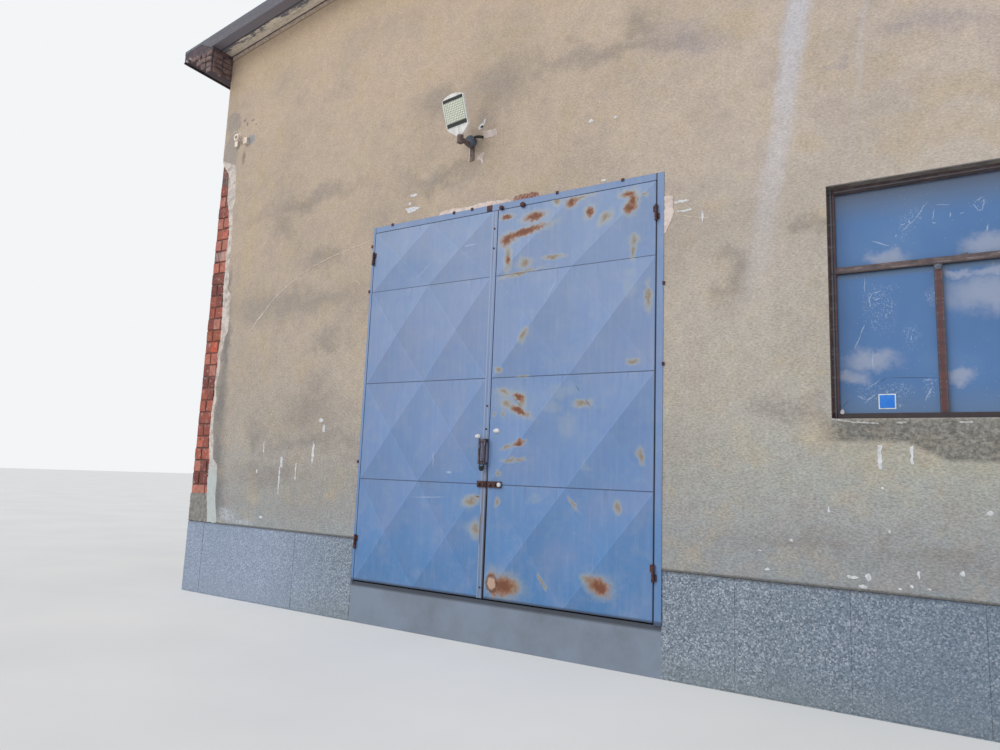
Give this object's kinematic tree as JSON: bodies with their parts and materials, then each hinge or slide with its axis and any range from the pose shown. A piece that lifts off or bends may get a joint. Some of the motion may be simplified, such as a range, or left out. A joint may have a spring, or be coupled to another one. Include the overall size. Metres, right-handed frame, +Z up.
{
  "type": "factory hall",
  "caption": "Rendered brick factory hall with a low sheet roof, hinged steel gates with cross-broken sheets, wide windows and a lamp over the gates.",
  "frame": {"origin": "middle of the plan, on the flat underside of the floor at the lowest ground", "axes": "+Z up; +Y along the hall, away from the gates, which face -Y; +X to the right as seen from the gates' side"},
  "size_m": [14.1346, 16.7003, 8.1294],
  "materials": {
    "concrete_floor": "rough",
    "plinth_render": "rough",
    "brick": "matte",
    "wall_render": "rough",
    "soffit_paint": "peeling paint",
    "roof_metal": "weathered",
    "purlin_wood": "sawn",
    "truss_steel": "matte",
    "window_paint": "weathered",
    "window_pane": "gloss",
    "gate_paint": "faded",
    "rusty_steel": "rusty",
    "lock_steel": "worn",
    "lamp_shell": "satin",
    "lamp_lens": "gloss",
    "fitting_plastic": "matte"
  },
  "bodies": {
    "hall": {"floor_slab": "concrete_floor", "plinth_front_left": "plinth_render", "plinth_front_right": "plinth_render", "plinth_sides": "plinth_render", "plinth_back": "plinth_render", "front_wall_piers": "brick", "front_window_bay": "brick", "front_gable": "brick", "eaves_cornices": "brick", "front_render": "wall_render", "side_walls_lower": "wall_render", "side_wall_piers": "wall_render", "side_walls_upper": "wall_render", "back_wall_lower": "wall_render", "back_wall_piers": "wall_render", "back_gable": "wall_render", "verge_boards": "soffit_paint", "verge_flashings": "roof_metal", "eaves_trims": "roof_metal", "roof_left": "roof_metal", "roof_right": "roof_metal", "ridge_cap": "roof_metal", "purlins": "purlin_wood", "roof_trusses": "truss_steel", "front_window_frame": "window_paint", "side_and_back_window_frames": "window_paint", "window_glass": "window_pane", "gate_jambs": "gate_paint", "gate_head": "gate_paint", "gate_hinge_pins": "rusty_steel", "lamp_bracket": "rusty_steel", "lamp_head": "lamp_shell", "lamp_panel": "lamp_lens", "corner_fittings": "fitting_plastic"},
    "left_leaf": {"left_leaf_frame": "gate_paint", "left_leaf_sheets": "gate_paint", "left_leaf_hinges": "rusty_steel", "cover_strip": "gate_paint", "pull_handle": "rusty_steel", "padlock": "lock_steel", "latch_left": "rusty_steel"},
    "right_leaf": {"right_leaf_frame": "gate_paint", "right_leaf_sheets": "gate_paint", "right_leaf_hinges": "rusty_steel", "latch_right": "rusty_steel"}
  },
  "joints": [
    {"name": "left_gate_hinge", "type": "hinge", "parent": "hall", "child": "left_leaf", "pos_m": [-3.642, -8.0183, 2.3], "axis": [0, 0, -1], "range_deg": [0, 110]},
    {"name": "right_gate_hinge", "type": "hinge", "parent": "hall", "child": "right_leaf", "pos_m": [-0.44, -8.0183, 2.3], "axis": [0, 0, 1], "range_deg": [0, 110]}
  ]
}
